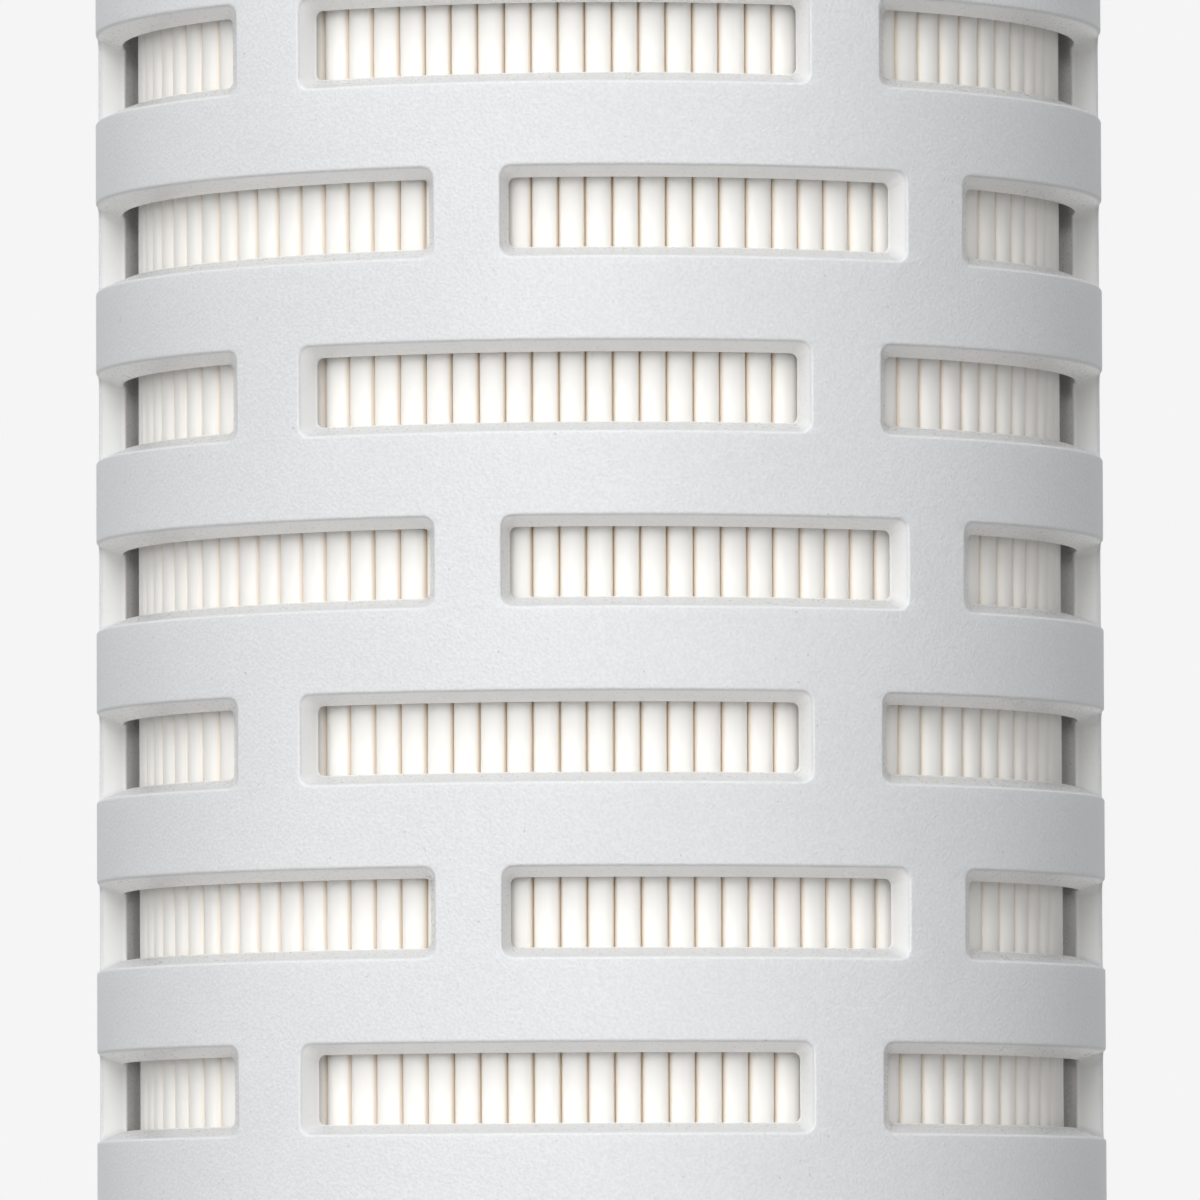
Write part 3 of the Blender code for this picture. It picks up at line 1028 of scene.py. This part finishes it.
def fibre_web_group():
    """The soft vertical streaks and fine felt of a rolled nonwoven web."""
    tree, start, end = new_group(
        "fibre_web",
        "ShaderNodeTree",
        (("Streak Scale", "NodeSocketFloat", 2600.0), ("Felt Scale", "NodeSocketFloat", 6000.0)),
        (("Streaks", "NodeSocketFloat"), ("Felt", "NodeSocketFloat")),
    )
    where = object_place(tree)
    drawn = vector_maths(tree, "MULTIPLY", where, (1.0, 1.0, STREAK_STRETCH))
    for label, scale, vector in (
        ("Streaks", "Streak Scale", drawn),
        ("Felt", "Felt Scale", where),
    ):
        tree.links.new(noise(tree, vector, start.outputs[scale], 1.0, 0.6), end.inputs[label])
    return tree


def group_node(tree, group, **values):
    """The group as a node of this material, with the given inputs set."""
    made = add_node(tree, "ShaderNodeGroup", node_tree=group)
    for label, value in values.items():
        made.inputs[label.replace("_", " ").title()].default_value = value
    return made


def new_material(name, **values):
    """A material with its Principled shader, whose plain values are set on its own sockets."""
    material = bpy.data.materials.new(name)
    material.use_nodes = True
    shader = material.node_tree.nodes["Principled BSDF"]
    for label, value in values.items():
        shader.inputs[label.replace("_", " ").title().replace("Ior", "IOR")].default_value = value
    return material, material.node_tree, shader


def bumped(tree, shader, height, depth):
    bump = add_node(tree, "ShaderNodeBump", {"Height": height, "Strength": 1.0, "Distance": depth})
    tree.links.new(bump.outputs[0], shader.inputs["Normal"])


def milky_plastic(name, clear, dense, roughness, milkiness, grain_depth, painted_wall_shading=None):
    """Satin polypropylene that lets some light in, with grain, clouds and light wear.

    The painted_wall_shading pair holds the colours painted on the cage's slot ceilings and sills:
    painted light on ceilings that face down, painted shade on sills that face up. Where it is
    given, the grain stays on the cage's outer surface, the slots' sides and the inside are smooth,
    and the inside is painted lighter, as painted light that stands for light let through the milky
    wall.
    """
    material, tree, shader = new_material(
        name,
        roughness=roughness,
        ior=1.49,
        specular_ior_level=GLOSS,
        subsurface_weight=milkiness,
        **PLASTIC_SCATTER,
    )
    depth = group_node(
        tree,
        milky_depth,
        clear_colour=(*clear, 1.0),
        dense_colour=(*dense, 1.0),
    )
    grain = group_node(tree, moulded_grain)
    marks = group_node(tree, scuffs)
    tone = remap(tree, grain.outputs["Grain"], 0.0, 1.0, GRAIN_TONE, 1.0)
    toned = mix_colours(tree, 1.0, depth.outputs["Colour"], tone, "MULTIPLY")
    specked = mix_colours(
        tree,
        maths(tree, "MULTIPLY", marks.outputs["Specks"], SPECK_STRENGTH),
        toned,
        SPECK_COLOUR,
    )
    smoothest, roughest = (roughness + swing for swing in ROUGHNESS_SWING)
    rough = remap(tree, grain.outputs["Grain"], 0.0, 1.0, smoothest, roughest)
    rubbed = maths(tree, "MULTIPLY", marks.outputs["Rubbed"], RUB_SHINE)
    rough = maths(tree, "SUBTRACT", rough, rubbed)
    height = grain.outputs["Height"]
    if painted_wall_shading:
        flat = vector_maths(tree, "MULTIPLY", object_place(tree), (1.0, 1.0, 0.0))
        radius = vector_maths(tree, "LENGTH", flat)
        skin = remap(tree, radius, CAGE_RADIUS - SKIN_DEPTH, CAGE_RADIUS - SKIN_DEPTH / 4)
        inside = CAGE_RADIUS - CAGE_WALL
        # Painted light on the cage's inside, giving way to the painted slot colours a little way
        # into the wall
        beyond_painted_inside = remap(tree, radius, inside, CAGE_RADIUS - CAGE_WALL * INSIDE_PAINTED_LIGHT_DEPTH)
        # Painted light and shade by facing: slot ceilings that face down get the lighter colour,
        # sills that face up the darker one
        facing = add_node(tree, "ShaderNodeTexCoord").outputs["Normal"]
        facing_up_for_painted_shade = add_node(tree, "ShaderNodeSeparateXYZ", {"Vector": facing}).outputs["Z"]
        facing_up_for_painted_shade = remap(tree, facing_up_for_painted_shade, -1.0, 1.0)
        wall = mix_colours(tree, facing_up_for_painted_shade, *painted_wall_shading)
        smooth = mix_colours(tree, beyond_painted_inside, INSIDE_PAINTED_LIGHT, wall)
        specked = mix_colours(tree, skin, smooth, specked)
        rough = maths(tree, "SUBTRACT", rough, remap(tree, skin, 0.0, 1.0, WALL_POLISH, 0.0))
        height = maths(tree, "MULTIPLY", height, skin)
    tree.links.new(specked, shader.inputs["Base Color"])
    tree.links.new(rough, shader.inputs["Roughness"])
    bumped(tree, shader, height, grain_depth)
    return material


def membrane_cloth():
    """Matte white web, slightly warm, with painted shade that makes it darker and warmer down in
    the folds.
    """
    material, tree, shader = new_material("membrane", ior=1.45)
    web = group_node(tree, fibre_web)
    fold = add_node(tree, "ShaderNodeAttribute", attribute_name="fold").outputs["Fac"]
    # Painted shade, darker and warmer with depth into the fold
    depth = remap(tree, fold, *FOLD_SHADE_RANGE)
    colour = mix_colours(tree, depth, CROWN_COLOUR, FOLD_PAINTED_SHADE)
    tone = remap(tree, web.outputs["Streaks"], *NOISE_RANGE, STREAK_TONE, 1.0)
    toned = mix_colours(tree, 1.0, colour, tone, "MULTIPLY")
    tree.links.new(toned, shader.inputs["Base Color"])
    rough = remap(tree, web.outputs["Felt"], *NOISE_RANGE, *FELT_ROUGHNESS)
    tree.links.new(rough, shader.inputs["Roughness"])
    raised = maths(tree, "ADD", web.outputs["Streaks"], web.outputs["Felt"])
    bumped(tree, shader, raised, WEB_RELIEF)
    return material


def seal_rubber():
    """Dull black rubber with a faint bloom."""
    material, tree, shader = new_material("seal_rubber", ior=1.5)
    grain = group_node(tree, moulded_grain, grain_scale=5200.0, swell_scale=900.0)
    marks = group_node(tree, scuffs, scale=420.0, speck_scale=5200.0)
    bloom = maths(tree, "MULTIPLY", marks.outputs["Rubbed"], BLOOM_STRENGTH)
    colour = mix_colours(tree, bloom, RUBBER_COLOUR, BLOOM_COLOUR)
    tree.links.new(colour, shader.inputs["Base Color"])
    rough = remap(tree, grain.outputs["Grain"], 0.0, 1.0, *RUBBER_ROUGHNESS)
    tree.links.new(rough, shader.inputs["Roughness"])
    bumped(tree, shader, grain.outputs["Height"], RUBBER_RELIEF)
    return material


# Studio


def seen_directly(tree):
    """1 where the camera, a reflection or a clear part looks at the backdrop."""
    rays = add_node(tree, "ShaderNodeLightPath").outputs
    mirrored = maths(tree, "MAXIMUM", rays["Is Glossy Ray"], rays["Is Transmission Ray"])
    return maths(tree, "MAXIMUM", rays["Is Camera Ray"], mirrored)


def studio_world():
    """A plain pale backdrop, which lights the object less than it shows."""
    world = bpy.data.worlds.new("studio")
    world.use_nodes = True
    bpy.context.scene.world = world
    tree = world.node_tree
    background = tree.nodes["Background"]
    background.inputs["Color"].default_value = (1.0, 1.0, 1.0, 1.0)
    strength = remap(tree, seen_directly(tree), 0.0, 1.0, AMBIENT, BACKDROP)
    tree.links.new(strength, background.inputs["Strength"])


def studio_floor():
    mesh = bpy.data.meshes.new("floor")
    half = FLOOR_SIZE / 2
    corners = [(-half, -half), (half, -half), (half, half), (-half, half)]
    mesh.from_pydata([(x, y, -FLOOR_DROP) for x, y in corners], [], [(0, 1, 2, 3)])
    floor = mesh_object("floor", mesh)
    material, tree, shader = new_material("pale_floor", roughness=0.9)
    shader.inputs["Specular IOR Level"].default_value = GLOSS
    speckle = noise(tree, object_place(tree), FLOOR_GRAIN_SCALE)
    tone = remap(tree, speckle, *NOISE_RANGE, FLOOR_GRAIN_TONE, 1.0)
    paper = mix_colours(tree, 1.0, FLOOR_PAPER, tone, "MULTIPLY")
    tree.links.new(paper, shader.inputs["Base Color"])
    lift = mix_colours(tree, seen_directly(tree), (0.0, 0.0, 0.0, 1.0), FLOOR_LIFT)
    tree.links.new(lift, shader.inputs["Emission Color"])
    shader.inputs["Emission Strength"].default_value = 1.0
    mesh.materials.append(material)


def soft_sun(name, azimuth, elevation, strength, spread):
    """A far softbox. The azimuth is counted as the object's angles are."""
    light = bpy.data.lights.new(name, "SUN")
    light.energy = strength
    light.angle = math.radians(spread)
    lamp = bpy.data.objects.new(name, light)
    bpy.context.scene.collection.objects.link(lamp)
    direction = place(math.cos(math.radians(elevation)), azimuth, 0.0)
    direction.z = math.sin(math.radians(elevation))
    lamp.rotation_euler = direction.to_track_quat("Z", "Y").to_euler()
    lamp.location = direction * LAMP_DISTANCE


def studio_camera():
    data = bpy.data.cameras.new("camera")
    data.lens = CAMERA_LENS
    data.sensor_width = SENSOR
    data.clip_start, data.clip_end = CAMERA_REACH
    camera = bpy.data.objects.new("camera", data)
    bpy.context.scene.collection.objects.link(camera)
    tilt = Matrix.Rotation(math.pi / 2 + CAMERA_PITCH, 4, "X")
    roll = Matrix.Rotation(CAMERA_ROLL, 4, "Z")
    camera.matrix_world = Matrix.Translation(CAMERA_PLACE) @ tilt @ roll
    bpy.context.scene.camera = camera


bpy.context.scene.view_settings.view_transform = "Standard"
studio_camera()
studio_world()
studio_floor()
soft_sun("key", KEY_AZIMUTH, KEY_ELEVATION, KEY_STRENGTH, KEY_SPREAD)
soft_sun("fill", FILL_AZIMUTH, FILL_ELEVATION, FILL_STRENGTH, FILL_SPREAD)

moulded_grain = moulded_grain_group()
milky_depth = milky_depth_group()
scuffs = scuffs_group()
fibre_web = fibre_web_group()
stacked_rows = stacked_rows_tree()

cage_plastic = milky_plastic(
    "cage_plastic",
    clear=(0.715, 0.725, 0.74),
    dense=(0.745, 0.755, 0.77),
    roughness=0.40,
    milkiness=0.15,
    grain_depth=0.00004,
    # Painted light on the slot ceilings, painted shade on the sills
    painted_wall_shading=(SLOT_CEILING_PAINTED_LIGHT, SLOT_SILL_PAINTED_SHADE),
)
cap_plastic = milky_plastic(
    "cap_plastic",
    clear=(0.82, 0.82, 0.81),
    dense=(0.85, 0.85, 0.84),
    roughness=0.38,
    milkiness=0.2,
    grain_depth=0.000004,
)
core_plastic = milky_plastic(
    "core_plastic",
    clear=(0.77, 0.77, 0.75),
    dense=(0.81, 0.81, 0.79),
    roughness=0.45,
    milkiness=0.2,
    grain_depth=0.000004,
)
membrane = membrane_cloth()
rubber = seal_rubber()

pieces = (
    (outer_cage(cage_plastic), "cage_plastic", "outer_cage"),
    (pleated_pack(membrane), "membrane", "pleated_membrane"),
    (perforated_core(core_plastic), "core_plastic", "inner_core"),
    (closed_end_cap(cap_plastic), "cap_plastic", "closed_end_cap"),
    (open_end_cap(cap_plastic), "cap_plastic", "open_end_cap"),
    (outlet_adapter(cap_plastic), "cap_plastic", "outlet_adapter"),
    (seal_ring("lower_seal", GROOVE_HEIGHTS[0], rubber), "seal_rubber", "lower_o_ring"),
    (seal_ring("upper_seal", GROOVE_HEIGHTS[1], rubber), "seal_rubber", "upper_o_ring"),
)
for piece, slot, node in pieces:
    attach(piece, "root")
    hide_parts(node)
